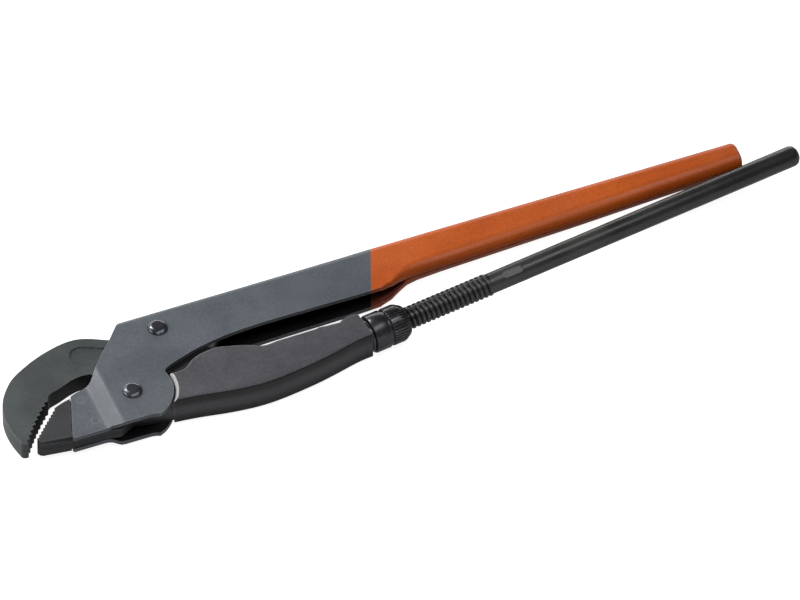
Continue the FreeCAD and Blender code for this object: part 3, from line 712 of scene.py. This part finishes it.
def bridge_open_ends():
    """In edit mode: join the two open rims of the picked piece and turn every face outwards."""
    bpy.ops.mesh.select_mode(type="EDGE")
    bpy.ops.mesh.select_all(action="DESELECT")
    bpy.ops.mesh.select_non_manifold(extend=False, use_wire=False, use_boundary=True,
                                     use_multi_face=False, use_non_contiguous=False,
                                     use_verts=False)
    bpy.ops.mesh.bridge_edge_loops()
    bpy.ops.mesh.select_all(action="SELECT")
    bpy.ops.mesh.normals_make_consistent(inside=False)


front_half = rod_half("rod", FRONT_CUT, True)
rear_half = rod_half("rod_rear", REAR_CUT, False)
pick(front_half)
rear_half.select_set(True)
bpy.ops.object.join()
rod = bpy.context.object
bpy.ops.object.mode_set(mode="EDIT")
bridge_open_ends()
bpy.ops.object.mode_set(mode="OBJECT")
print("rod without its thread:", len(rod.data.polygons), "faces")

# %% [markdown]
# ## The rolled thread
# A rolled thread is one ridge that climbs round the rod. A six-sided ring, a little wider than high,
# stands at the core's surface, and a Screw modifier carries it round the axis and forward by one
# pitch a turn. A helix made this way is exact, and its two ends only have to be filled.

# %% Thread ridge
PITCH, TURNS, STEPS = 3.6 * MM, 28, 48
RIDGE_RADIUS, RIDGE_WIDENING, RIDGE_HEIGHT = 1.0 * MM, 1.35, 6.82 * MM
THREAD_START = 153.6
deselect()
bpy.ops.mesh.primitive_circle_add(vertices=6, radius=RIDGE_RADIUS,
                                  location=(0.0, RIDGE_HEIGHT, 0.0),
                                  rotation=(0.0, 0.0, math.radians(30.0)))
ridge = bpy.context.object
bpy.ops.object.transform_apply(location=False, rotation=True, scale=True)
ridge.scale = (RIDGE_WIDENING, 1.0, 1.0)
bpy.ops.object.transform_apply(location=True, rotation=True, scale=True)
climb = ridge.modifiers.new("climb", "SCREW")
climb.axis, climb.screw_offset, climb.iterations = "X", PITCH, TURNS
climb.steps, climb.render_steps = STEPS, STEPS
bpy.ops.object.modifier_apply(modifier=climb.name)
bpy.ops.object.mode_set(mode="EDIT")
bpy.ops.mesh.select_all(action="SELECT")
bpy.ops.mesh.fill_holes(sides=6)
bpy.ops.mesh.normals_make_consistent(inside=False)
bpy.ops.object.mode_set(mode="OBJECT")
ridge.rotation_euler = (0.0, 0.0, ROD_TURN)
ridge.location = on_rod(THREAD_START)
bpy.ops.object.transform_apply(location=True, rotation=True, scale=True)
print("ridge:", TURNS, "turns,", len(ridge.data.polygons), "faces")

# %% [markdown]
# ## Rod and thread together
# The ridge joins the rod, because they turn and slide as one. The walls of the thumb slot are marked
# for a painted highlight: they are found by their distance from the rod's axis.

# %% Join the ridge to the rod
SLOT_START, SLOT_LENGTH, SLOT_RADIUS = 261.0, 17.0 * MM, 6.98 * MM
pick(rod)
ridge.select_set(True)
bpy.ops.object.join()
rod.data.materials.clear()
rod.data.materials.append(rod_steel)
bpy.ops.object.shade_smooth_by_angle(angle=math.radians(38.0))


def in_thumb_slot(face):
    from_start = face.center - on_rod(SLOT_START)
    along = from_start.dot(ROD_AXIS)
    radial = from_start - ROD_AXIS * along
    wall = abs(face.normal.dot(radial.normalized())) < 0.85
    return 0.0 < along < SLOT_LENGTH and radial.length < SLOT_RADIUS and wall


print("walls of the thumb slot:", mark_faces(rod, "bare_and_glint", in_thumb_slot))
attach(rod, "rod")
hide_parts("threaded_rod")
print("rod and thread:", len(rod.data.polygons), "faces")

# %% [markdown]
# ## The adjusting nut
# The nut is turned from bar: a smooth collar, a groove, a grip and a cone. A ring of vertices is
# extruded and scaled from one station to the next, as the lathe tool would travel, and the bore
# closes the shape. Its table gives each station's place along the axis and its radius.

# %% Turn the nut
RIDGES = 40
STATIONS = ((0.0, 7.85), (0.0, 11.9), (0.3, 12.5), (1.0, 12.9), (10.6, 12.9), (11.3, 12.5),
            (11.6, 11.5), (12.6, 11.5), (13.0, 12.3), (13.8, 12.8), (21.4, 12.8), (22.6, 12.4),
            (26.0, 10.5), (26.7, 9.9), (26.7, 7.85))
deselect()
bpy.ops.mesh.primitive_circle_add(vertices=4 * RIDGES, radius=STATIONS[0][1] * MM,
                                  rotation=(0.0, math.radians(90.0), 0.0))
nut = bpy.context.object
nut.name = "nut"
bpy.ops.object.transform_apply(location=True, rotation=True, scale=True)
bpy.ops.object.mode_set(mode="EDIT")
bpy.ops.mesh.select_mode(type="EDGE")
bpy.ops.mesh.select_all(action="SELECT")
for (x0, r0), (x1, r1) in zip(STATIONS, STATIONS[1:]):
    bpy.ops.mesh.extrude_edges_move(TRANSFORM_OT_translate={"value": ((x1 - x0) * MM, 0.0, 0.0)})
    bpy.ops.transform.resize(value=(1.0, r1 / r0, r1 / r0), center_override=(x1 * MM, 0.0, 0.0))
bridge_open_ends()
bpy.ops.mesh.select_mode(type="FACE")
bpy.ops.mesh.select_all(action="DESELECT")
bpy.ops.object.mode_set(mode="OBJECT")
print("turned nut:", len(nut.data.polygons), "faces")

# %% [markdown]
# ## Knurl
# A straight knurl is a row of ridges along the grip. The ring has four strips for each ridge, and
# two of them are pressed in together, so that the other two stand up. The inset works on all the
# chosen faces at once, and each pressed strip keeps its own walls.

# %% Press the knurl
GRIP_START, GRIP_END, GRIP_RADIUS = 12.9 * MM, 26.2 * MM, 9.5 * MM
KNURL_DEPTH, NUT_STATION = 0.7 * MM, 164.2
pressed = 0
for face in nut.data.polygons:
    strip = math.atan2(face.center.z, face.center.y) / (2.0 * math.pi) * 4 * RIDGES
    radius = math.hypot(face.center.y, face.center.z)
    grip = GRIP_START < face.center.x < GRIP_END and radius > GRIP_RADIUS
    face.select = grip and int(math.floor(strip)) % 4 < 2
    pressed += face.select
bpy.ops.object.mode_set(mode="EDIT")
bpy.ops.mesh.inset(thickness=0.0, depth=-KNURL_DEPTH)
bpy.ops.object.mode_set(mode="OBJECT")
nut.rotation_euler = (0.0, 0.0, ROD_TURN)
nut.location = on_rod(NUT_STATION)
bpy.ops.object.transform_apply(location=True, rotation=True, scale=True)
nut.data.materials.append(black_steel)
bpy.ops.object.shade_smooth_by_angle(angle=math.radians(30.0))
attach(nut, "nut")
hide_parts("adjusting_nut")
print("nut:", len(nut.data.polygons), "faces,", pressed, "pressed in")

# %% [markdown]
# ## Floor
# The floor is plain and nearly white, so that only the tool's own soft shadow shows on it. It glows
# for the camera, which keeps it pale under dim lamps, and a little less in mirroring steel, which
# gives the undersides of the tool a soft light.

# %% Floor
FLOOR_SIZE, FLOOR_GAP = 8.0, 0.1 * MM
GLOW_SEEN, GLOW_MIRRORED = 0.90, 0.22
deselect()
bpy.ops.mesh.primitive_plane_add(size=FLOOR_SIZE, location=(aim.x, aim.y, cad_box[0][2] - FLOOR_GAP))
floor = bpy.context.object
floor.name = "floor"
white = bpy.data.materials.new("white_floor")
white.use_nodes = True
shader = white.node_tree.nodes["Principled BSDF"]
shader.inputs["Base Color"].default_value = (0.45, 0.45, 0.45, 1.0)
shader.inputs["Roughness"].default_value = 1.0
shader.inputs["Emission Color"].default_value = (1.0, 1.0, 1.0, 1.0)
ray = add_node(white.node_tree, "ShaderNodeLightPath")
mirrored = maths(white.node_tree, "MULTIPLY", ray.outputs["Is Glossy Ray"], GLOW_MIRRORED)
seen = maths(white.node_tree, "MULTIPLY", ray.outputs["Is Camera Ray"], GLOW_SEEN)
glow = maths(white.node_tree, "ADD", seen, mirrored)
join(white.node_tree, glow, shader.inputs["Emission Strength"])
floor.data.materials.append(white)
print("floor:", FLOOR_SIZE, "m square, under", round(cad_box[0][2], 4))
